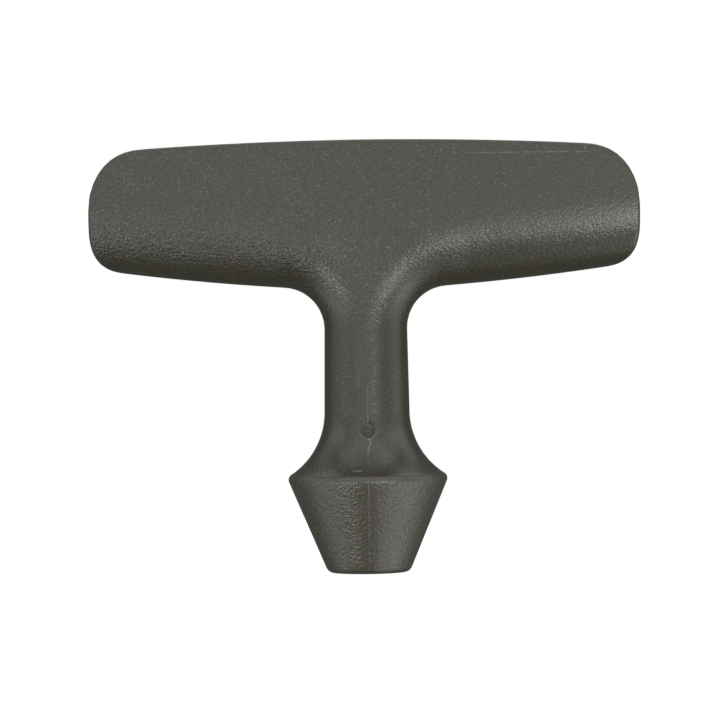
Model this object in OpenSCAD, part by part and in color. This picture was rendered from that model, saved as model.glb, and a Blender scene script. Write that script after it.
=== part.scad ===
// Pull handle for a rope starter: one moulded piece with a crossbar for two fingers on each side,
// a round neck, a cone nose that parks in the starter cover, and a rope hole with a knot pocket.
// The origin is the middle of the nose mouth, +Z runs up the rope, and X runs along the crossbar.

/* [Overall] */
// Width across the crossbar
bar_w = 90; // [76:1:110]
// Height from the nose mouth to the top of the crown
total_h = 70.8; // [62:0.5:90]

/* [Crossbar] */
// Depth, front to back, at the middle
bar_d = 15.6; // [14.8:0.1:20]
// How much shallower the bar is at its ends
bar_taper = 2; // [0:0.1:3]
// Height of the bar beside the neck
bar_h = 23.9; // [20:0.2:30]
// Radius of the crown along the bar
crown_r = 600; // [300:10:1200]
// Radius along the top edges
top_edge_r = 0.5; // [0.3:0.1:1.2]
// Height over which the front and back roll round into the underside
roll_full_h = 11.6; // [9:0.2:14]
// Slope of the underside beside the neck, in degrees
under_slope = 4; // [1:0.1:8]
// Radius of the underside along the bar
under_r = 400; // [200:10:900]
// Depth of the widest point of the ends below the crown
end_drop = 12.8; // [10:0.2:15]
// Length of the top corners along the bar
top_corner_w = 9; // [6:0.5:12]
// Fullness of the top corners, 2 being an ellipse
top_corner_n = 2.4; // [2:0.1:4]
// Length of the bottom corners along the bar
bottom_corner_w = 6; // [4:0.5:9]
// Fullness of the bottom corners, 2 being an ellipse
bottom_corner_n = 3.2; // [2:0.1:4]
// Radius of the edges round the ends
end_edge_r = 0.6; // [0.3:0.1:1.2]

/* [Neck and shoulder] */
// Radius of the neck under the shoulder
neck_top_r = 6.8; // [6:0.1:8]
// Radius of the neck above the flare
neck_low_r = 7; // [6.2:0.1:8.4]
// Fillet between the neck and the underside of the bar
fillet_r = 6.9; // [4:0.1:9]
// Length along the underside over which the neck's roundness grows into the bar's
blend_len = 19; // [12:0.5:26]
// Height over which the neck's front swells out to the bar's front
swell_h = 25; // [16:0.5:30]
// Half width of that swelling
swell_w = 18; // [12:0.5:24]

/* [Nose] */
// Radius of the nose mouth, out to the sharp corner
nose_r = 6.7; // [5.6:0.1:8]
// Half angle of the nose cone, in degrees
nose_angle = 22.8; // [15:0.1:30]
// Rounding of the nose mouth's edge
nose_edge_r = 1.4; // [0.4:0.1:2]
// Rounding of the rim
rim_r = 1; // [0.6:0.1:1.5]
// Radius of the flare between the rim and the neck
flare_r = 12.3; // [9:0.1:14]
// Height at which the flare starts
flare_z = 26.5; // [25:0.05:28]

/* [Rope passage] */
// Radius of the rope hole
rope_r = 2.6; // [1.8:0.1:3.2]
// Chamfer at the rope hole's mouth
rope_chamfer = 0.8; // [0.3:0.1:1.2]
// Radius of the knot pocket
pocket_r = 5; // [4.4:0.1:5.4]
// Depth of the knot pocket below the crown
pocket_depth = 14; // [8:0.5:18]
// Chamfer at the pocket's rim
pocket_chamfer = 0.6; // [0.3:0.1:0.8]
// Depth of the dished seat under the knot
seat_depth = 1.6; // [0.5:0.1:2.5]

/* [Gate mark] */
// Radius of the round mark that the mould's gate leaves on the front
gate_r = 1.3; // [0.8:0.1:1.8]
// Height of its middle
gate_z = 23.7; // [20:0.1:26]
// Depth of the mark
gate_depth = 0.25; // [0.1:0.05:0.4]

/* [Hidden] */
rubber_colour = [0.33, 0.325, 0.305];
$fn = 96;

// How many steps each stretch of the crossbar is drawn with
rib_steps = 18;
neck_ribs = 13;
shoulder_ribs = 4;
bar_ribs = 6;
end_ribs = 10;
edge_steps = 3;
roof_steps = 2;
arc_step = 6;
// Share of the rounding that the last rib stands at, which leaves a small flat on each end
end_share = 0.997;
// The crossbar's foot reaches this far down inside the neck, whose top is this much fatter than the
// foot and tapers into it
foot_h = 1.5;
foot_gap = 0.03;
foot_lap = 0.3;
// How far a cut passes the face that it opens through
past = 1;

half_w = bar_w / 2;
end_z = total_h - end_drop;
fillet_x = neck_top_r + fillet_r;
fillet_z = total_h - bar_h - fillet_r * cos(under_slope);
fillet_turn = 90 - under_slope;
fillet_len = fillet_r * fillet_turn * PI / 180;
under_x = fillet_x - fillet_r * sin(under_slope);
under_mid = [under_x - under_r * sin(under_slope), total_h - bar_h + under_r * cos(under_slope)];
corner_x = half_w - top_corner_w;

// Eases from 0 to 1, level and without a bend at its start and end
function ease(t) = let (c = min(1, max(0, t))) c * c * c * (10 - 15 * c + 6 * c * c);
// Share of the way round a corner of fullness n
function turned(t, n) = 1 - pow(1 - pow(t, n), 1 / n);
// How far x lies into the last w of the bar, as a share of w
function into_end(x, w) = end_share * max(0, (x - half_w + w) / w);

// Outline of the bar, seen from the front
function crown(x) = total_h - crown_r + sqrt(crown_r * crown_r - x * x);
function underside(x) = under_mid.y - sqrt(under_r * under_r - pow(x - under_mid.x, 2));
function bar_top(x) =
    crown(x) - (crown(x) - end_z) * turned(into_end(x, top_corner_w), top_corner_n);
function bar_foot(x) =
    underside(x) + (end_z - underside(x)) * turned(into_end(x, bottom_corner_w), bottom_corner_n);
function height_share(x) =
    x <= corner_x ? 1 : (bar_top(x) - bar_foot(x)) / (bar_top(corner_x) - bar_foot(corner_x));
function edge_r(x) = top_edge_r * height_share(x);
function face_top(x) = bar_top(x) - edge_r(x);

// Half the depth of the bar, and of the front face where it swells out of the neck
function side_depth(x) = (bar_d - bar_taper * pow(x / half_w, 2)) / 2;
function bar_depth(x) = side_depth(x) - end_edge_r * turned(into_end(x, end_edge_r), 2);
function face_depth(x, z) =
    let (swell = ease((z - fillet_z) / swell_h + pow(x / swell_w, 2)))
    neck_top_r + (bar_depth(x) - neck_top_r) * swell;

// Height of the rolled underside at a distance along the underside from the neck
function roll_h(along) = neck_top_r + (roll_full_h - neck_top_r) * ease(along / blend_len);

// A rib is a line on the front face, from the underside up to the middle plane or to the top edge:
// its two ends in the front view, the height of its roll, and how much of that the corner cuts off.
corner_turn = atan((face_top(0) - fillet_z) / fillet_x);
function fillet_rib(turn) =
    let (
        foot = [fillet_x - fillet_r * cos(turn), fillet_z + fillet_r * sin(turn)],
        x = turn > corner_turn ? fillet_x - (face_top(0) - fillet_z) / tan(turn) : 0,
        z = turn > corner_turn ? face_top(x) : fillet_z + fillet_x * tan(turn)
    )
    [foot, [x, z], roll_h(fillet_r * turn * PI / 180), 0];
lean = under_x - fillet_rib(fillet_turn)[1].x;
function bar_rib(x) =
    let (
        top_x = x - lean * max(0, (corner_x - x) / (corner_x - under_x)),
        foot_z = bar_foot(x)
    )
    [[x, foot_z], [top_x, face_top(top_x)], roll_h(fillet_len + x - under_x), foot_z - underside(x)];

ribs = [
    for (i = [0:neck_ribs]) fillet_rib(atan(tan(corner_turn) * i / neck_ribs)),
    for (i = [1:shoulder_ribs])
        fillet_rib(corner_turn + (fillet_turn - corner_turn) * i / shoulder_ribs),
    for (i = [1:bar_ribs]) bar_rib(under_x + (corner_x - under_x) * i / bar_ribs),
    for (i = [1:end_ribs]) bar_rib(corner_x + top_corner_w * sin(90 * i / end_ribs))
];
last_rib = len(ribs) - 1;

// A point on the front face, at a step up a rib: a quarter of an ellipse, then the face. Where a
// corner cuts the roll off, the rib starts in the middle of the cut and its edge is rounded.
function face_point(rib, step) =
    let (
        share = 1 - cos(90 * step / rib_steps),
        at = rib[0] + (rib[1] - rib[0]) * share,
        climbed = norm(rib[1] - rib[0]) * share,
        up = min(1, (climbed + rib[3]) / rib[2]),
        edge = min(end_edge_r, rib[3]),
        short = max(0, edge - climbed),
        rounded = edge - sqrt(edge * edge - short * short),
        y = step == 0 ? 0 : face_depth(at.x, at.y) * sqrt(1 - pow(1 - up, 2)) - rounded
    )
    [at.x, -y, at.y];

// The rounded edges and the flat roof over a rib's top end, from the front to the back
function roof_points(rib) =
    let (
        x = rib[1].x,
        r = edge_r(x),
        y = face_depth(x, rib[1].y) - r,
        front = [for (i = [0:edge_steps]) let (a = 90 * i / edge_steps) [-y - r * cos(a), r * sin(a)]],
        flat = [for (i = [1:roof_steps - 1]) [-y + 2 * y * i / roof_steps, r]],
        back = [for (i = [edge_steps:-1:0]) [-front[i][0], front[i][1]]]
    )
    [for (p = concat(front, flat, back)) [x, p[0], rib[1].y + p[1]]];

function flip_x(points) = [for (p = points) [-p.x, p.y, p.z]];
function flip_y(points) = [for (p = points) [p.x, -p.y, p.z]];
function backwards(list) = [for (i = [len(list) - 1:-1:0]) list[i]];

// One loop round the arm: foot, front, roof and back
function arm_loop(rib) =
    let (front = [for (i = [1:rib_steps - 1]) face_point(rib, i)])
    concat([face_point(rib, 0)], front, roof_points(rib), flip_y(backwards(front)));
// One loop round the neck: right foot, front, left foot and back
function neck_loop(rib) =
    let (
        quarter = [for (i = [1:rib_steps - 1]) face_point(rib, i)],
        foot = face_point(rib, 0),
        middle = face_point(rib, rib_steps),
        front = concat([foot], quarter, [middle], backwards(flip_x(quarter)), flip_x([foot]))
    )
    concat(front, flip_y(backwards([for (i = [1:2 * rib_steps - 1]) front[i]])));

neck_count = 4 * rib_steps;
roof_count = 2 * edge_steps + roof_steps;
arm_count = 2 * rib_steps + roof_count;
arm_start = (neck_ribs + 1) * neck_count;
arm_size = (last_rib - neck_ribs + 1) * arm_count;

// Place of a point in the list, from its loop and its step round the loop
function neck_at(loop, step) = loop * neck_count + step % neck_count;
function arm_at(side, rib, step) =
    let (
        s = step % arm_count,
        shared = rib == neck_ribs && s >= rib_steps && s <= rib_steps + roof_count
    )
    arm_start + (shared ? 0 : side) * arm_size + (rib - neck_ribs) * arm_count + s;
// The neck's last loop is made of points of the two arms' first loops
function split_at(step) =
    let (s = step % neck_count)
    s <= rib_steps ? arm_at(0, neck_ribs, s)
    : s <= 2 * rib_steps ? arm_at(1, neck_ribs, 2 * rib_steps - s)
    : s <= 3 * rib_steps ? arm_at(1, neck_ribs, arm_count - (s - 2 * rib_steps))
    : arm_at(0, neck_ribs, rib_steps + roof_count + s - 3 * rib_steps);

// Two triangles between two neighbouring loops, with their shared edge leaning one way or the other
function patch(a, b, c, d, other) = other ? [[a, d, b], [b, d, c]] : [[a, c, b], [a, d, c]];
function turned_over(faces, over) = over ? [for (f = faces) [f[2], f[1], f[0]]] : faces;

// The crossbar with its shoulder: one skin over the ribs, from the foot inside the neck to both ends
module crossbar() {
    foot = [for (p = neck_loop(ribs[0])) [p.x, p.y, p.z - foot_h]];
    neck = [for (i = [0:neck_ribs - 1]) each neck_loop(ribs[i])];
    arm = [for (i = [neck_ribs:last_rib]) each arm_loop(ribs[i])];
    foot_cap = [[for (s = [neck_count - 1:-1:0]) neck_at(0, s)]];
    neck_skin = [
        for (i = [0:neck_ribs - 1], s = [0:neck_count - 1])
            let (other = floor(s / rib_steps) % 2 == 1)
            each patch(neck_at(i, s), neck_at(i + 1, s), neck_at(i + 1, s + 1), neck_at(i, s + 1), other)
    ];
    split_skin = [
        for (s = [0:neck_count - 1])
            let (other = floor(s / rib_steps) % 2 == 1)
            each patch(neck_at(neck_ribs, s), split_at(s), split_at(s + 1), neck_at(neck_ribs, s + 1), other)
    ];
    arm_skin = [
        for (side = [0, 1], i = [neck_ribs:last_rib - 1], s = [0:arm_count - 1])
            let (other = s >= rib_steps + roof_count / 2)
            each turned_over(
                patch(
                    arm_at(side, i, s), arm_at(side, i + 1, s),
                    arm_at(side, i + 1, s + 1), arm_at(side, i, s + 1), other
                ),
                side == 1
            )
    ];
    end_caps = [
        [for (s = [0:arm_count - 1]) arm_at(0, last_rib, s)],
        [for (s = [arm_count - 1:-1:0]) arm_at(1, last_rib, s)]
    ];
    polyhedron(
        concat(foot, neck, arm, flip_x(arm)),
        concat(foot_cap, neck_skin, split_skin, arm_skin, end_caps)
    );
}

// Points on an arc between two angles
function arc(middle, r, from, to) =
    let (n = ceil(abs(to - from) / arc_step))
    [for (i = [0:n]) let (a = from + (to - from) * i / n) middle + r * [cos(a), sin(a)]];

// Neck, flare and nose: one turned form, whose rim touches the flare and the cone
module stem() {
    along = [sin(nose_angle), cos(nose_angle)];
    inward = [-cos(nose_angle), sin(nose_angle)];
    flare_mid = [neck_low_r + flare_r, flare_z];
    mouth_mid = [nose_r + nose_edge_r * (tan(nose_angle) - 1 / cos(nose_angle)), nose_edge_r];
    start = [nose_r, 0] + rim_r * inward - flare_mid;
    reach = -start * along - sqrt(pow(start * along, 2) - start * start + pow(flare_r + rim_r, 2));
    rim_mid = [nose_r, 0] + rim_r * inward + reach * along;
    touch = atan2(flare_mid.y - rim_mid.y, flare_mid.x - rim_mid.x);
    top_z = fillet_z - foot_h / 2;
    rotate_extrude()
        polygon(concat(
            [[0, 0]],
            arc(mouth_mid, nose_edge_r, -90, -nose_angle),
            arc(rim_mid, rim_r, -nose_angle, touch),
            arc(flare_mid, flare_r, 180 + touch, 180),
            [
                [neck_top_r + foot_gap, top_z - foot_gap],
                [neck_top_r - foot_lap, top_z + foot_lap],
                [0, top_z + foot_lap]
            ]
        ));
}

// The way through for the rope: mouth, hole, dished seat, knot pocket and its chamfer
module rope_passage() {
    floor_z = total_h - pocket_depth;
    rotate_extrude()
        polygon([
            [0, -past],
            [rope_r + rope_chamfer + past, -past],
            [rope_r, rope_chamfer],
            [rope_r, floor_z - seat_depth],
            [rope_r + seat_depth, floor_z],
            [pocket_r, floor_z],
            [pocket_r, total_h - pocket_chamfer],
            [pocket_r + pocket_chamfer + past, total_h + past],
            [0, total_h + past]
        ]);
}

// Round mark of the mould's gate, with a pip left standing in it
module gate_mark() {
    face_y = neck_low_r + flare_r - sqrt(pow(flare_r, 2) - pow(flare_z - gate_z, 2));
    translate([0, gate_depth - face_y, gate_z])
        rotate([90, 0, 0])
            difference() {
                cylinder(h = past, r = gate_r);
                translate([0, 0, -past])
                    cylinder(h = past + gate_depth / 2, r = gate_r / 2);
            }
}

module handle() {
    color(rubber_colour)
        difference() {
            union() {
                stem();
                crossbar();
            }
            rope_passage();
            gate_mark();
        }
}

handle();
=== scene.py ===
import bpy
import math
from mathutils import Matrix, Vector


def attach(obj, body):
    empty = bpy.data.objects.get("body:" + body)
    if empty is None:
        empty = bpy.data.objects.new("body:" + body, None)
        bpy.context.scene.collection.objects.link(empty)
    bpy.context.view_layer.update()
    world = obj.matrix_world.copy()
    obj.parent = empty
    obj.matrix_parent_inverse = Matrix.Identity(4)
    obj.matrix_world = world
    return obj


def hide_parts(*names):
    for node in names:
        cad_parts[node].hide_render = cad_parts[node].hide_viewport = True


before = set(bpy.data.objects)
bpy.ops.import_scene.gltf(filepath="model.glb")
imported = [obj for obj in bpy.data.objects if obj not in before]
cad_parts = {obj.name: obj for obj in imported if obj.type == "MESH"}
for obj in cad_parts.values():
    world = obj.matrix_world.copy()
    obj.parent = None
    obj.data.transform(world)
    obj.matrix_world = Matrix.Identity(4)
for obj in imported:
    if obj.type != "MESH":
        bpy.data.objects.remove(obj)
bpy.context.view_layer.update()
mm = 0.001
print("frame loaded:", sorted(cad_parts))

# Sizes of the handle in mm, as in the part's source
handleForm = {
    "barHalfWidth": 44.8,
    "barHalfDepth": 7.6,
    "edgeRound": 0.5,
    "edgeSegments": 3,
    "barFoot": 47.2,
    "barMiddle": 59.0,
    "barTop": 70.4,
    "barCuts": (7.2, 20.0, 32.4),
    "neckRows": ((43.5, 7.9, 7.6), (40.0, 7.7, 7.6)),  # height, half width and half depth of each
    "refining": ((2, 3), (2, 3), (1, 2)),  # subdivision levels and rounds of settling
    "crownInset": 1.2,
    "crownSqueeze": 5.2 / 6.3,
    "crownRing": 5.8,
    "crown": 70.8,
    "crownDip": 0.02,
    "neckTop": (40.0, 6.8),
    "neckLow": (26.5, 7.0),
    "neckSteps": 12,
    "flareRadius": 12.3,
    "flareSteps": 40,
    "noseRadius": 6.7,
    "noseAngle": 22.8,
    "noseSteps": 12,
    "noseEdge": 1.4,
    "noseEdgeSteps": 6,
    "rimRadius": 1.0,
    "rimSteps": 8,
    "ropeRadius": 2.6,
    "ropeChamfer": 0.8,
    "pocketRadius": 5.0,
    "pocketDepth": 14.0,
    "pocketChamfer": 0.6,
    "seatDepth": 1.6,
    "smoothAngle": 32,
}


def activate(piece):
    if bpy.context.object and bpy.context.object.mode != "OBJECT":
        bpy.ops.object.mode_set(mode="OBJECT")
    bpy.ops.object.select_all(action="DESELECT")
    piece.select_set(True)
    bpy.context.view_layer.objects.active = piece


# Leaves the piece in edit mode with what passes the test selected. The test gets a place in mm,
# and a normal, or for an edge its direction.
def pick(piece, kind, test):
    bpy.ops.object.mode_set(mode="EDIT")
    bpy.ops.mesh.select_mode(type=kind)
    bpy.ops.mesh.select_all(action="DESELECT")
    bpy.ops.object.mode_set(mode="OBJECT")
    mesh = piece.data
    if kind == "EDGE":
        for edge in mesh.edges:
            a, b = (mesh.vertices[i].co / mm for i in edge.vertices)
            edge.select = bool(test((a + b) / 2, (b - a).normalized()))
    else:
        for item in mesh.polygons if kind == "FACE" else mesh.vertices:
            place = item.center if kind == "FACE" else item.co
            item.select = bool(test(place / mm, item.normal))
    bpy.ops.object.mode_set(mode="EDIT")


def selectOpenRims(kind):
    bpy.ops.mesh.select_mode(type=kind)
    bpy.ops.mesh.select_all(action="DESELECT")
    bpy.ops.mesh.select_non_manifold(extend=False, use_wire=False, use_boundary=True,
                                     use_multi_face=False, use_non_contiguous=False, use_verts=False)


# The open rim at the crown, or the one at the neck
def pickRim(piece, above):
    bpy.ops.object.mode_set(mode="EDIT")
    selectOpenRims("EDGE")
    bpy.ops.object.mode_set(mode="OBJECT")
    for edge in piece.data.edges:
        z = piece.data.vertices[edge.vertices[0]].co.z / mm
        if edge.select and (z > handleForm["barMiddle"]) != above:
            edge.select = False
    for vertex in piece.data.vertices:
        vertex.select = False
    for edge in piece.data.edges:
        if edge.select:
            for i in edge.vertices:
                piece.data.vertices[i].select = True
    bpy.ops.object.mode_set(mode="EDIT")


def applyModifier(piece, kind, **settings):
    activate(piece)
    modifier = piece.modifiers.new(kind.lower(), kind)
    for name, value in settings.items():
        setattr(modifier, name, value)
    bpy.ops.object.modifier_apply(modifier=modifier.name)


def ringRadius(piece):
    ring = [v.co for v in piece.data.vertices if v.select]
    return sum(math.hypot(p.x, p.y) for p in ring) / len(ring) / mm


# Makes a rim round at a radius in mm, and level where a height is given
def circleRim(piece, above, radius, z=None):
    pickRim(piece, above)
    middle = (0, 0, (z or handleForm["crown"]) * mm)
    if z is not None:
        bpy.ops.transform.resize(value=(1, 1, 0), center_override=middle)
        bpy.ops.object.mode_set(mode="OBJECT")
        height = next(v.co.z for v in piece.data.vertices if v.select)
        bpy.ops.object.mode_set(mode="EDIT")
        bpy.ops.transform.translate(value=(0, 0, z * mm - height))
    bpy.ops.transform.tosphere(value=1, center_override=middle)
    bpy.ops.object.mode_set(mode="OBJECT")
    now = ringRadius(piece)
    bpy.ops.object.mode_set(mode="EDIT")
    bpy.ops.transform.resize(value=(radius / now, radius / now, 1), center_override=middle)
    bpy.ops.object.mode_set(mode="OBJECT")


# Creased edges stay crisp until they are rounded, and from then on a vertex group holds their band
def crispEdges(piece):
    crease = piece.data.attributes["crease_edge"].data
    return [edge for edge in piece.data.edges if crease[edge.index].value > 0.5]


def crispVertices(piece):
    if piece.vertex_groups:
        return {v.index for v in piece.data.vertices if any(g.weight > 0.999 for g in v.groups)}
    return {i for edge in crispEdges(piece) for i in edge.vertices}


# Evens out the mesh between its crisp edges and open rims
def relax(piece, rounds):
    bpy.ops.object.mode_set(mode="EDIT")
    selectOpenRims("VERT")
    bpy.ops.object.mode_set(mode="OBJECT")
    held = crispVertices(piece) | {v.index for v in piece.data.vertices if v.select}
    for parts in (piece.data.vertices, piece.data.edges, piece.data.polygons):
        parts.foreach_set("select", [False] * len(parts))
    for vertex in piece.data.vertices:
        vertex.select = vertex.index not in held
    bpy.ops.object.mode_set(mode="EDIT")
    bpy.ops.mesh.vertices_smooth(factor=0.5, repeat=rounds)
    bpy.ops.object.mode_set(mode="OBJECT")


# Draws the mesh onto the CAD surface
def settle(piece, rounds):
    for i in range(rounds):
        relax(piece, 3)
        applyModifier(piece, "SHRINKWRAP", target=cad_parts["handle"],
                      wrap_method="NEAREST_SURFACEPOINT")


def roundCrispEdges(piece):
    pick(piece, "EDGE", lambda p, d: False)
    bpy.ops.object.mode_set(mode="OBJECT")
    for edge in crispEdges(piece):
        edge.select = True
    bpy.ops.object.mode_set(mode="EDIT")
    bpy.ops.transform.edge_crease(value=-1)
    bpy.ops.mesh.bevel(offset=handleForm["edgeRound"] * mm, segments=handleForm["edgeSegments"],
                       affect="EDGES", clamp_overlap=True)
    bpy.ops.object.vertex_group_assign_new()
    bpy.ops.object.mode_set(mode="OBJECT")
    print("crisp edges rounded, faces", len(piece.data.polygons))


def makeHandle():
    form = handleForm
    height, middle = form["barTop"] - form["barFoot"], (form["barTop"] + form["barFoot"]) / 2
    bpy.ops.object.select_all(action="DESELECT")
    bpy.ops.mesh.primitive_cube_add(size=mm, location=(0, 0, middle * mm))
    piece = bpy.context.object
    piece.name = "handle_body"

    # A box cut into strips, with the neck drawn down out of its foot and an opening in its crown
    piece.scale = (2 * form["barHalfWidth"], 2 * form["barHalfDepth"], height)
    bpy.ops.object.transform_apply(location=True, rotation=True, scale=True)
    bpy.ops.object.mode_set(mode="EDIT")
    for x in form["barCuts"]:
        for side in (-1, 1):
            bpy.ops.mesh.select_all(action="SELECT")
            bpy.ops.mesh.bisect(plane_co=(side * x * mm, 0, 0), plane_no=(1, 0, 0))
    bpy.ops.mesh.select_all(action="SELECT")
    bpy.ops.mesh.bisect(plane_co=(0, 0, form["barMiddle"] * mm), plane_no=(0, 0, 1))
    inner = form["barCuts"][0]
    pick(piece, "FACE", lambda p, n: n.z < -0.9 and abs(p.x) < inner)
    z, halfX, halfY = form["barFoot"], inner, form["barHalfDepth"]
    for nextZ, nextX, nextY in form["neckRows"]:
        bpy.ops.mesh.extrude_region_move(TRANSFORM_OT_translate={"value": (0, 0, (nextZ - z) * mm)})
        bpy.ops.transform.resize(value=(nextX / halfX, nextY / halfY, 1),
                                 center_override=(0, 0, nextZ * mm))
        z, halfX, halfY = nextZ, nextX, nextY
    bpy.ops.mesh.delete(type="FACE")
    pick(piece, "FACE", lambda p, n: n.z > 0.9 and abs(p.x) < inner)
    bpy.ops.mesh.inset(thickness=form["crownInset"] * mm)
    bpy.ops.transform.resize(value=(1, form["crownSqueeze"], 1),
                             center_override=(0, 0, form["barTop"] * mm))
    bpy.ops.mesh.delete(type="FACE")

    # The edges along the crown and round the ends stay crisp, front and back
    near = 0.1  # mm
    outline = lambda p: p.z > form["barTop"] - near or abs(p.x) > form["barHalfWidth"] - near
    onFace = lambda p: abs(p.y) > form["barHalfDepth"] - near and p.z > form["barFoot"] + near
    pick(piece, "EDGE", lambda p, d: outline(p) and onFace(p))
    bpy.ops.transform.edge_crease(value=1)

    # Refined in stages and drawn onto the CAD surface, with the crisp edges rounded before the last
    for levels, rounds in form["refining"]:
        if levels == 1:
            roundCrispEdges(piece)
        applyModifier(piece, "SUBSURF", levels=levels, render_levels=levels)
        circleRim(piece, True, form["crownRing"])
        circleRim(piece, False, form["neckTop"][1], form["neckTop"][0])
        settle(piece, rounds)
        print("refined to", len(piece.data.polygons), "faces")
    relax(piece, 5)
    return piece


# Outline of the neck and nose from the shoulder down, and of the rope's way back up,
# as heights and radii in mm
def stemRows():
    form = handleForm
    slant = math.radians(form["noseAngle"])
    along = Vector((math.sin(slant), math.cos(slant)))
    inward = Vector((-math.cos(slant), math.sin(slant)))
    flare, rim, edge = form["flareRadius"], form["rimRadius"], form["noseEdge"]
    (topZ, topR), (lowZ, lowR) = form["neckTop"], form["neckLow"]
    flareMiddle = Vector((lowR + flare, lowZ))
    start = Vector((form["noseRadius"], 0)) + rim * inward - flareMiddle
    lean = start.dot(along)
    climb = -lean - math.sqrt(lean ** 2 - start.length_squared + (flare + rim) ** 2)
    rimMiddle = flareMiddle + start + along * climb
    touch = math.atan2(flareMiddle.y - rimMiddle.y, flareMiddle.x - rimMiddle.x)
    mouthMiddle = Vector((form["noseRadius"] + edge * (math.tan(slant) - 1 / math.cos(slant)), edge))

    def arc(middle, radius, first, last, steps):
        turns = (first + (last - first) * i / steps for i in range(steps + 1))
        return [(middle.y + radius * math.sin(t), middle.x + radius * math.cos(t)) for t in turns]

    steps = form["neckSteps"]
    neck = [(topZ + (lowZ - topZ) * i / steps, topR + (lowR - topR) * i / steps) for i in range(1, steps)]
    outside = neck + arc(flareMiddle, flare, math.pi, math.pi + touch, form["flareSteps"])
    outside += arc(rimMiddle, rim, touch, -slant, form["rimSteps"])
    corner = arc(mouthMiddle, edge, -slant, -math.pi / 2, form["noseEdgeSteps"])
    last, first = Vector(outside[-1]), Vector(corner[0])
    cone = [tuple(last.lerp(first, i / form["noseSteps"])) for i in range(1, form["noseSteps"])]
    rope, pocket, crown = form["ropeRadius"], form["pocketRadius"], form["crown"]
    mouth, seat, lip = form["ropeChamfer"], form["seatDepth"], form["pocketChamfer"]
    floor = crown - form["pocketDepth"]
    inside = [(0, rope + mouth), (mouth, rope), (floor - seat, rope), (floor, rope + seat),
              (floor, pocket), (crown - lip, pocket), (crown - form["crownDip"], pocket + lip)]
    return outside + cone + corner + inside


# Draws the neck's rim down to the nose and back up inside, and joins it to the crown's rim
def addStem(piece):
    activate(piece)
    z, radius = handleForm["neckTop"]
    pickRim(piece, above=False)
    for nextZ, nextRadius in stemRows():
        bpy.ops.mesh.extrude_region_move(TRANSFORM_OT_translate={"value": (0, 0, (nextZ - z) * mm)})
        k = nextRadius / radius
        bpy.ops.transform.resize(value=(k, k, 1), center_override=(0, 0, nextZ * mm))
        z, radius = nextZ, nextRadius
    selectOpenRims("EDGE")
    bpy.ops.mesh.bridge_edge_loops()
    bpy.ops.mesh.select_all(action="SELECT")
    bpy.ops.mesh.normals_make_consistent(inside=False)
    bpy.ops.object.mode_set(mode="OBJECT")


# The mould's gate mark on the front of the neck, in mm: a sunk disc with a curled ridge,
# a small hollow above it, and beside it two spots of painted shadow
gateMark = {
    "middle": (0.12, 23.5),
    "radius": 1.25,
    "depth": 0.25,
    "wallStep": 0.11,
    "wallSteps": 4,
    "fineRadius": 2.1,
    "smoothRadius": 1.8,
    "curlMiddle": (-0.05, 23.82),
    "curlRadius": 0.56,
    "curlWidth": 0.15,
    "curlHeight": 0.13,
    "curlGap": (-0.1, 23.7),
    "pitMiddle": (0.44, 24.83),
    "pitRadius": 0.28,
    "pitDepth": 0.13,
    "pitStep": 0.09,
    "pitSteps": 3,
    "corners": ((1.04, 24.45, 0.3), (-0.75, 24.3, 0.25)),
}


def fromMark(p, name):
    x, z = gateMark[name]
    return math.hypot(p.x - x, p.z - z)


def moveMark(piece, test, depth):
    pick(piece, "VERT", lambda p, n: p.y < 0 and n.y < -0.3 and test(p))
    bpy.ops.transform.translate(value=(0, depth * mm, 0))


def sinkGateMark(piece):
    mark = gateMark
    activate(piece)
    pick(piece, "FACE", lambda p, n: p.y < 0 and fromMark(p, "middle") < mark["fineRadius"])
    bpy.ops.mesh.subdivide(number_cuts=3, ngon=False)
    for i in range(mark["wallSteps"]):
        inside = lambda p: fromMark(p, "middle") < mark["radius"] - mark["wallStep"] * i
        moveMark(piece, inside, mark["depth"] / mark["wallSteps"])
    for i in range(2):
        band = mark["curlWidth"] * (1 - 0.5 * i)
        onRing = lambda p: abs(fromMark(p, "curlMiddle") - mark["curlRadius"]) < band
        onCurl = lambda p: onRing(p) and (p.x > mark["curlGap"][0] or p.z < mark["curlGap"][1])
        moveMark(piece, onCurl, -mark["curlHeight"] / 2)
    for i in range(mark["pitSteps"]):
        inside = lambda p: fromMark(p, "pitMiddle") < mark["pitRadius"] - mark["pitStep"] * i
        moveMark(piece, inside, mark["pitDepth"] / mark["pitSteps"])
    pick(piece, "VERT", lambda p, n: p.y < 0 and fromMark(p, "middle") < mark["smoothRadius"])
    bpy.ops.mesh.vertices_smooth(factor=0.5, repeat=1)
    bpy.ops.object.mode_set(mode="OBJECT")
    bpy.ops.object.shade_smooth_by_angle(angle=math.radians(handleForm["smoothAngle"]))


handle = makeHandle()
addStem(handle)
print("neck and nose added")
sinkGateMark(handle)
print("handle has", len(handle.data.polygons), "faces")

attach(handle, "root")
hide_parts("handle")

# Level in front of the handle: distances in m, and what the picture shows in pixels
cameraSetup = {
    "distance": 0.65,
    "height": 0.038,
    "roll": 0.83,
    "sensor": 36,
    "picture": 720,
    "pixelsPerMm": 6.083,
    "principal": (366.0, 341.0),
    "clipping": (0.01, 50),
}


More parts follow.
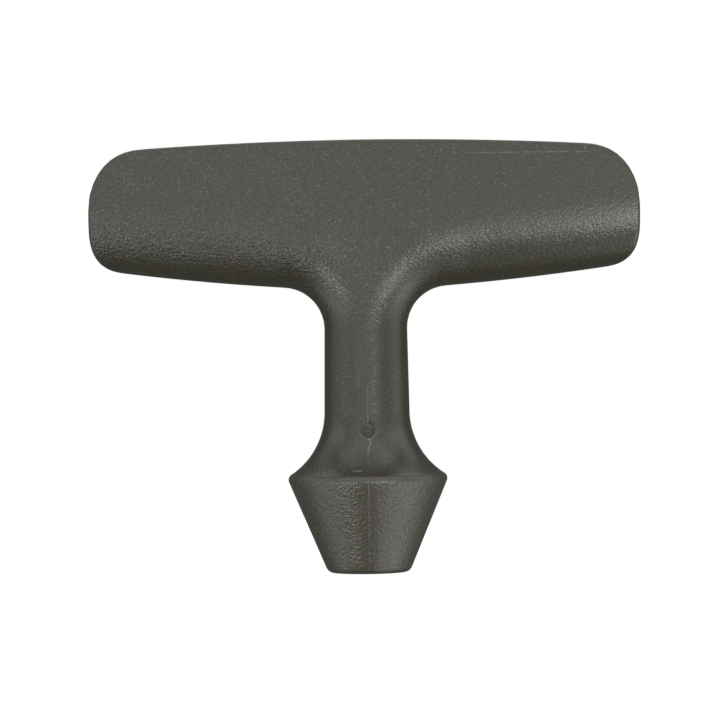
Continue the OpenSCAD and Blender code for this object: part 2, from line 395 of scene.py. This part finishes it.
def addCamera():
    setup = cameraSetup
    roll = math.radians(setup["roll"])
    data = bpy.data.cameras.new("camera")
    camera = bpy.data.objects.new("camera", data)
    bpy.context.scene.collection.objects.link(camera)
    right = Vector((math.cos(roll), 0, -math.sin(roll)))
    up = Vector((math.sin(roll), 0, math.cos(roll)))
    back = Vector((0, -1, 0))
    place = Matrix((right, up, back)).transposed().to_4x4()
    place.translation = (0, -setup["distance"], setup["height"])
    camera.matrix_world = place
    picture, (aimX, aimY) = setup["picture"], setup["principal"]
    data.sensor_width = setup["sensor"]
    data.lens = setup["sensor"] * setup["distance"] / mm * setup["pixelsPerMm"] / picture
    data.shift_x = (picture / 2 - aimX) / picture
    data.shift_y = (aimY - picture / 2) / picture
    data.clip_start, data.clip_end = setup["clipping"]
    bpy.context.scene.camera = camera


addCamera()
print("camera set")


# A value or colour in a material's node tree, for writing shader maths as plain expressions
class Wire:
    def __init__(self, bench, socket):
        self.bench, self.socket = bench, socket

    def maths(self, operation, *others):
        return self.bench.node("ShaderNodeMath", {"operation": operation}, [self, *others])

    def __add__(self, other):
        return self.maths("ADD", other)

    def __sub__(self, other):
        return self.maths("SUBTRACT", other)

    def __mul__(self, other):
        return self.maths("MULTIPLY", other)

    def __rsub__(self, other):
        return self.bench.node("ShaderNodeMath", {"operation": "SUBTRACT"}, [other, self])

    __radd__, __rmul__ = __add__, __mul__

    def size(self):
        return self.maths("ABSOLUTE")

    def root(self):
        return self.maths("POWER", 0.5)

    # 0 below the first level and 1 above the second, or the other way round
    def step(self, low, high):
        if low > high:
            return 1 - self.step(high, low)
        settings = {"interpolation_type": "SMOOTHSTEP"}
        levels = {"Value": self, "From Min": low, "From Max": high}
        return self.bench.node("ShaderNodeMapRange", settings, levels)

    # 1 between two levels, fading out on both sides
    def between(self, low, high, soft):
        return self.step(low - soft, low + soft) * self.step(high + soft, high - soft)

    # 1 on a line at the given value, fading out on both sides
    def line(self, value, width):
        return (self - value).size().step(width, width * 0.3)


# A material's node tree, with one method that adds any node
class Bench:
    def __init__(self, name):
        self.material = bpy.data.materials.new(name)
        self.material.use_nodes = True
        self.tree = self.material.node_tree
        self.surface = self.tree.nodes["Principled BSDF"]

    def node(self, kind, settings=None, inputs=None, output=0):
        node = self.tree.nodes.new(kind)
        for name, value in (settings or {}).items():
            setattr(node, name, value)
        self.feed(node, inputs or {})
        return Wire(self, node.outputs[output])

    def feed(self, node, inputs):
        for name, value in inputs.items() if isinstance(inputs, dict) else enumerate(inputs):
            if isinstance(value, Wire):
                self.tree.links.new(value.socket, node.inputs[name])
            else:
                node.inputs[name].default_value = value

    def noise(self, place, scale, detail=2.0, roughness=0.5, distortion=0.0):
        inputs = {"Vector": place, "Scale": scale, "Detail": detail, "Roughness": roughness}
        return self.node("ShaderNodeTexNoise", {}, {**inputs, "Distortion": distortion})

    def blend(self, amount, first, second, kind="MIX"):
        settings = {"data_type": "RGBA", "blend_type": kind}
        return self.node("ShaderNodeMix", settings, {0: amount, 6: first, 7: second}, output=2)


# Heights, widths and places in mm, in the handle's frame. A span is from, to and how soft its ends are.
gripFinish = {
    "colours": {
        "plain": (0.034, 0.0315, 0.016),
        "warm": (0.039, 0.0315, 0.0165),
        # The fleck colour is partly real pale specks and partly painted glints
        "fleckAndGlint": (0.22, 0.217, 0.19),
        "paleNose": (0.085, 0.079, 0.056),
        # The darker colour below also paints shade in the gate mark's sunk disc, and the near-black one
        # paints shade in its small hollow and in two spots beside it
        "darkToneAndShade": (0.016, 0.0145, 0.0085),
        "mark": (0.19, 0.187, 0.16),
        "pitShade": (0.007, 0.0066, 0.0052),
    },
    "roughness": 0.31,
    "specular": 0.95,
    "grainHeight": 0.09,
    "grainScale": 2.7,
    "grainPull": 0.72,  # draws the bar's grain out sideways
    "grainOnLeft": (1.1, -2, -16),  # how much more grain, from one x to another
    "grainOnRight": (-0.4, 8, 20),
    "crumpleHeight": 0.16,
    "crumpleScale": 2.0,
    "crumpleCalm": (5, 2),
    "creaseHeight": 0.045,
    "creaseScale": 1.3,
    "noseTop": (16.8, 15.4),
    "nosePaling": 0.45,
    "neckSpan": (17, 41, 2),
    "neckCalm": 0.5,
    "fleckScale": 1.3,
    "fleckWidth": 0.13,
    "fleckHeight": 0.015,
    "saltScale": 2.9,
    "lineWidth": 0.15,
    "markHeight": 0.02,
}

# The lines that the mould left, a scratch and a faint streak. Each fine line crosses x or z at a place.
gripLines = {
    "parting": {"x": 0.1, "neck": (24.6, 30.6, 0.3), "nose": (2.0, 15.2, 0.5), "strength": 0.4,
                "flare": (18.2, 22.3, 0.4), "flareFade": (19.3, 20.8),
                "wiggle": (21.0, 22.0, 0.35), "wiggleWidth": 0.42},
    "crown": {"z": 68.35, "right": (15, 36.5, 1.0), "rightStrength": 0.6,
              "left": (-36.5, -20, 2.0), "leftStrength": 0.12},
    "fine": (
        {"crosses": "x", "at": 36.1, "span": (68.7, 69.4, 0.1), "strength": 0.8, "bothSides": True},
        {"crosses": "x", "at": -37.2, "span": (68.8, 69.3, 0.1), "strength": 0.5, "bothSides": True},
        {"crosses": "z", "at": 17.0, "span": (-2.4, -0.95, 0.12), "strength": 0.75, "bothSides": False},
        {"crosses": "x", "at": -1.3, "span": (30.6, 33.2, 0.4), "strength": 0.25, "bothSides": False},
    ),
}


# Height of the moulded grain: calmer on the neck, livelier on the left of the bar, coarser on the nose
def grainRelief(bench, place, across, x, z, nose):
    finish = gripFinish
    share = 1 - finish["neckCalm"] * z.between(*finish["neckSpan"])
    for more, start, full in (finish["grainOnLeft"], finish["grainOnRight"]):
        share = share + more * x.step(start, full)
    grain = bench.noise(across, finish["grainScale"], distortion=0.3) * finish["grainHeight"] * share
    calm = 1 - 0.5 * x.size().step(*finish["crumpleCalm"])
    crumple = bench.noise(place, finish["crumpleScale"], distortion=0.4) * finish["crumpleHeight"] * calm
    creases = (bench.noise(place, finish["creaseScale"], 3.0, distortion=0.3) - 0.5).size()
    return grain * (1 - nose) + crumple * nose - creases * finish["creaseHeight"]


def mouldLines(bench, place, x, z, front, broken):
    width, parting, crown = gripFinish["lineWidth"], gripLines["parting"], gripLines["crown"]
    wander = z.between(*parting["wiggle"]) * parting["wiggleWidth"] + parting["x"]
    bright = (z.between(*parting["neck"]) + z.between(*parting["nose"])) * parting["strength"]
    fade = 0.3 + 0.7 * z.step(*parting["flareFade"])
    bright = bright + z.between(*parting["flare"]) * front * fade
    lines = (x - wander).line(0, width) * bright * (0.45 + 0.55 * broken)
    dashes = bench.noise(place, 0.7).step(0.36, 0.56)
    along = x.between(*crown["right"]) * crown["rightStrength"]
    along = along + x.between(*crown["left"]) * crown["leftStrength"]
    lines = lines + z.line(crown["z"], width * 0.7) * along * dashes
    for fine in gripLines["fine"]:
        crossed, followed = (x, z) if fine["crosses"] == "x" else (z, x)
        line = crossed.line(fine["at"], width) * followed.between(*fine["span"]) * fine["strength"]
        lines = lines + (line if fine["bothSides"] else line * front)
    return lines


# Masks for painted shade on the gate mark's sunk floor, for darker painted shade in the hollow above it
# and in two spots beside it, and for its pale curl with the pale burr below
def gateMarkMasks(x, z, front, broken):
    mark, width = gateMark, gripFinish["lineWidth"]

    def reach(middle):
        dx, dz = x - middle[0], z - middle[1]
        return (dx * dx + dz * dz).root()

    middle, radius = reach(mark["middle"]), mark["radius"]
    sunk = middle.step(radius + 0.05, radius - 0.15) * front
    pitShade = reach(mark["pitMiddle"]).step(mark["pitRadius"] + 0.12, mark["pitRadius"] - 0.15)
    # Two spots of painted shadow beside the hollow, where the recess wall's shadow falls
    for cornerX, cornerZ, corner in mark["corners"]:
        pitShade = pitShade + reach((cornerX, cornerZ)).step(corner, corner * 0.3) * 0.7
    lower = z.step(23.9, 23.1) * (0.35 + 0.65 * (x + 0.2).size().step(0.1, 0.7))
    burr = (middle - broken * 0.25).line(radius + 0.05, width * 0.8) * lower * front
    curl = reach(mark["curlMiddle"]).line(mark["curlRadius"], width) * x.step(-0.45, 0.05) * front
    return sunk, pitShade * front, burr * 0.35 + curl * 0.4


def makeGripMaterial():
    finish = gripFinish
    bench = Bench("moulded grip")
    coordinates = bench.node("ShaderNodeTexCoord", output=3)
    perMm, pulled = 1 / mm, finish["grainPull"] / mm
    place = bench.node("ShaderNodeMapping", {}, {"Vector": coordinates, "Scale": (perMm, perMm, perMm)})
    across = bench.node("ShaderNodeMapping", {}, {"Vector": coordinates, "Scale": (pulled, pulled, perMm)})
    x, y, z = (bench.node("ShaderNodeSeparateXYZ", {}, {"Vector": place}, output=i) for i in range(3))
    front = y.step(0.5, -0.5)
    nose = z.step(*finish["noseTop"])
    relief = grainRelief(bench, place, across, x, z, nose)
    broken = bench.noise(place, 0.9, 1.0).step(0.35, 0.6)
    sunk, pitShade, pale = gateMarkMasks(x, z, front, broken)
    marks = mouldLines(bench, place, x, z, front, broken) + pale

    # Small glossy flecks, and finer salt between them, whose pale colour is partly real specks and partly
    # painted glints
    cells = bench.node("ShaderNodeTexVoronoi", {}, {"Vector": place, "Scale": finish["fleckScale"]})
    flecksAndGlints = cells.step(finish["fleckWidth"] * 1.3, finish["fleckWidth"] * 0.45)
    flecksAndGlints = flecksAndGlints * (1 - finish["neckCalm"] * z.between(*finish["neckSpan"]))
    saltAndGlints = bench.noise(place, finish["saltScale"], 1.0).step(0.56, 0.76)

    # Soft patches and a faint tint over the whole handle, then pale flecks that are partly painted glints,
    # the gate mark's painted shade and the marks on top
    mottle = bench.noise(place, 0.12, 3.0, 0.55)
    warmth = bench.noise(place, 0.1, 3.0, 0.6).step(0.45, 0.7)
    tint = bench.node("ShaderNodeTexNoise", {}, {"Vector": place, "Scale": 2.2, "Detail": 1.0}, output=1)
    shade = {name: (*value, 1) for name, value in finish["colours"].items()}
    colour = bench.blend(warmth * 0.6, shade["plain"], shade["warm"])
    colour = bench.blend(mottle.step(0.45, 0.75) * 0.15, colour, shade["darkToneAndShade"])
    colour = bench.blend(0.3, colour, tint, "SOFT_LIGHT")
    # The nose is made paler all over
    colour = bench.blend(nose * finish["nosePaling"], colour, shade["paleNose"])
    # Pale flecks and salt: partly real specks, partly painted glints
    colour = bench.blend(flecksAndGlints * 0.85 + saltAndGlints * 0.5, colour, shade["fleckAndGlint"])
    # Painted shade: the gate mark's sunk disc made darker, and its hollow and the two spots beside it near
    # black
    colour = bench.blend(sunk * 0.5, colour, shade["darkToneAndShade"])
    colour = bench.blend(pitShade * 0.9, colour, shade["pitShade"])
    colour = bench.blend(marks, colour, shade["mark"])

    height = relief + marks * finish["markHeight"] + flecksAndGlints * finish["fleckHeight"]
    bench.feed(bench.surface, {
        "Base Color": colour,
        "Roughness": finish["roughness"] + (mottle - 0.5) * 0.1 + sunk * 0.2,
        # On the gate mark, metallic with the near-black colour also takes the reflection away, as part of
        # the painted shade
        "Metallic": flecksAndGlints * 0.85 + saltAndGlints * 0.6 + sunk * 0.15 + pitShade * 0.5,
        "Normal": bench.node("ShaderNodeBump", {}, {"Height": height, "Distance": mm, "Strength": 1.0}),
        "Specular IOR Level": finish["specular"],
        "IOR": 1.5,
    })
    return bench.material


handle.data.materials.clear()
handle.data.materials.append(makeGripMaterial())
print("grip material made")

# Soft lamps round the handle: azimuth (0 in front, 90 on its right) and elevation in degrees,
# size in m, power in watts. The low ones light the nose and the rolled underside through the floor.
lamps = {
    "highLeft": {"azimuth": -90, "elevation": 45, "size": 1.2, "power": 1.9},
    "highRight": {"azimuth": 90, "elevation": 45, "size": 1.2, "power": 2.25},
    "top": {"azimuth": 0, "elevation": 76, "size": 1.2, "power": 1.6},
    "front": {"azimuth": 0, "elevation": 20, "size": 1.6, "power": 4.35},
    "sideLeft": {"azimuth": -76, "elevation": 0, "size": 1.2, "power": 1.26},
    "sideRight": {"azimuth": 76, "elevation": 8, "size": 1.2, "power": 1.18},
    "lowLeft": {"azimuth": -60, "elevation": -24, "size": 0.85, "power": 1.1},
    "lowRight": {"azimuth": 90, "elevation": -24, "size": 0.85, "power": 1.0},
    "deepRight": {"azimuth": 60, "elevation": -45, "size": 0.85, "power": 1.4},
    "rollLeft": {"azimuth": -30, "elevation": -30, "size": 0.3, "power": 1.1},
    "rollRight": {"azimuth": 24, "elevation": -22, "size": 0.32, "power": 1.5},
    "noseRight": {"azimuth": 74, "elevation": -40, "size": 0.3, "power": 0.2},
    "back": {"azimuth": 180, "elevation": 60, "size": 0.85, "power": 1.5},
    "noseLeft": {"azimuth": -90, "elevation": -38, "size": 0.45, "power": 0.3},
}
lampDistance = 0.9
lampAim = (0, 0, 0.045)


def addLamps():
    middle = Vector(lampAim)
    for name, lamp in lamps.items():
        across, up = math.radians(lamp["azimuth"]), math.radians(lamp["elevation"])
        flat = math.cos(up)
        toward = Vector((math.sin(across) * flat, -math.cos(across) * flat, math.sin(up)))
        light = bpy.data.lights.new(name, "AREA")
        light.shape, light.size, light.energy = "DISK", lamp["size"], lamp["power"]
        holder = bpy.data.objects.new(name, light)
        bpy.context.scene.collection.objects.link(holder)
        holder.location = middle + toward * lampDistance
        holder.rotation_euler = (-toward).to_track_quat("-Z", "Y").to_euler()


# The camera sees white. The dull grip is lit by the lamps and gets only a little of the white,
# because all of it would wash its dark colour out.
surroundings = {
    "shade": 0.03,
    "mirrored": 0.12,
    "floorSides": 64,
    "floorRadius": 3.0,
    "floorColour": 0.3,
    "floorGlow": 0.93,
    "shadowReach": (0.3, 0.1),
}


def addSurroundings():
    world = bpy.data.worlds.new("white room")
    bpy.context.scene.world = world
    world.use_nodes = True
    tree = world.node_tree
    background = tree.nodes["Background"]
    path = tree.nodes.new("ShaderNodeLightPath")
    level = background.inputs["Strength"]
    rays = {"Is Glossy Ray": surroundings["mirrored"], "Is Transmission Ray": 1.0, "Is Camera Ray": 1.0}
    for ray, strength in rays.items():
        seen = tree.nodes.new("ShaderNodeMix")
        seen.data_type = "FLOAT"
        seen.inputs["A"].default_value = surroundings["shade"]
        seen.inputs["B"].default_value = strength
        tree.links.new(path.outputs[ray], seen.inputs["Factor"])
        if level.is_linked:
            tree.links.new(level.links[0].from_socket, seen.inputs["A"])
        tree.links.new(seen.outputs["Result"], level)
    background.inputs["Color"].default_value = (1, 1, 1, 1)
    bpy.context.scene.view_settings.view_transform = "Standard"


# White to the camera, with the handle's soft shadow near its foot; the lamps below shine through it
def addFloor():
    bpy.ops.object.select_all(action="DESELECT")
    sides, radius = surroundings["floorSides"], surroundings["floorRadius"]
    bpy.ops.mesh.primitive_circle_add(vertices=sides, radius=radius, fill_type="NGON")
    floor = bpy.context.object
    floor.name = "floor"
    bench = Bench("pale floor")
    coordinates = bench.node("ShaderNodeTexCoord", output=3)
    reach = bench.node("ShaderNodeVectorMath", {"operation": "LENGTH"}, [coordinates], output=1)
    near = reach.step(*surroundings["shadowReach"])
    grey = surroundings["floorColour"]
    white, black = (1, 1, 1, 1), (0, 0, 0, 1)
    seen = bench.node("ShaderNodeLightPath", output=0)
    glow = seen * (1 - near * (1 - surroundings["floorGlow"]))
    bench.feed(bench.surface, {
        "Base Color": bench.blend(near, black, (grey, grey, grey, 1)),
        "Roughness": 1.0, "Specular IOR Level": 0.0,
        "Emission Color": bench.blend(glow, black, white), "Emission Strength": 1.0,
    })
    floor.data.materials.append(bench.material)
    floor.visible_shadow = floor.visible_diffuse = floor.visible_glossy = False


addLamps()
addSurroundings()
addFloor()
print("lamps, surroundings and floor set")
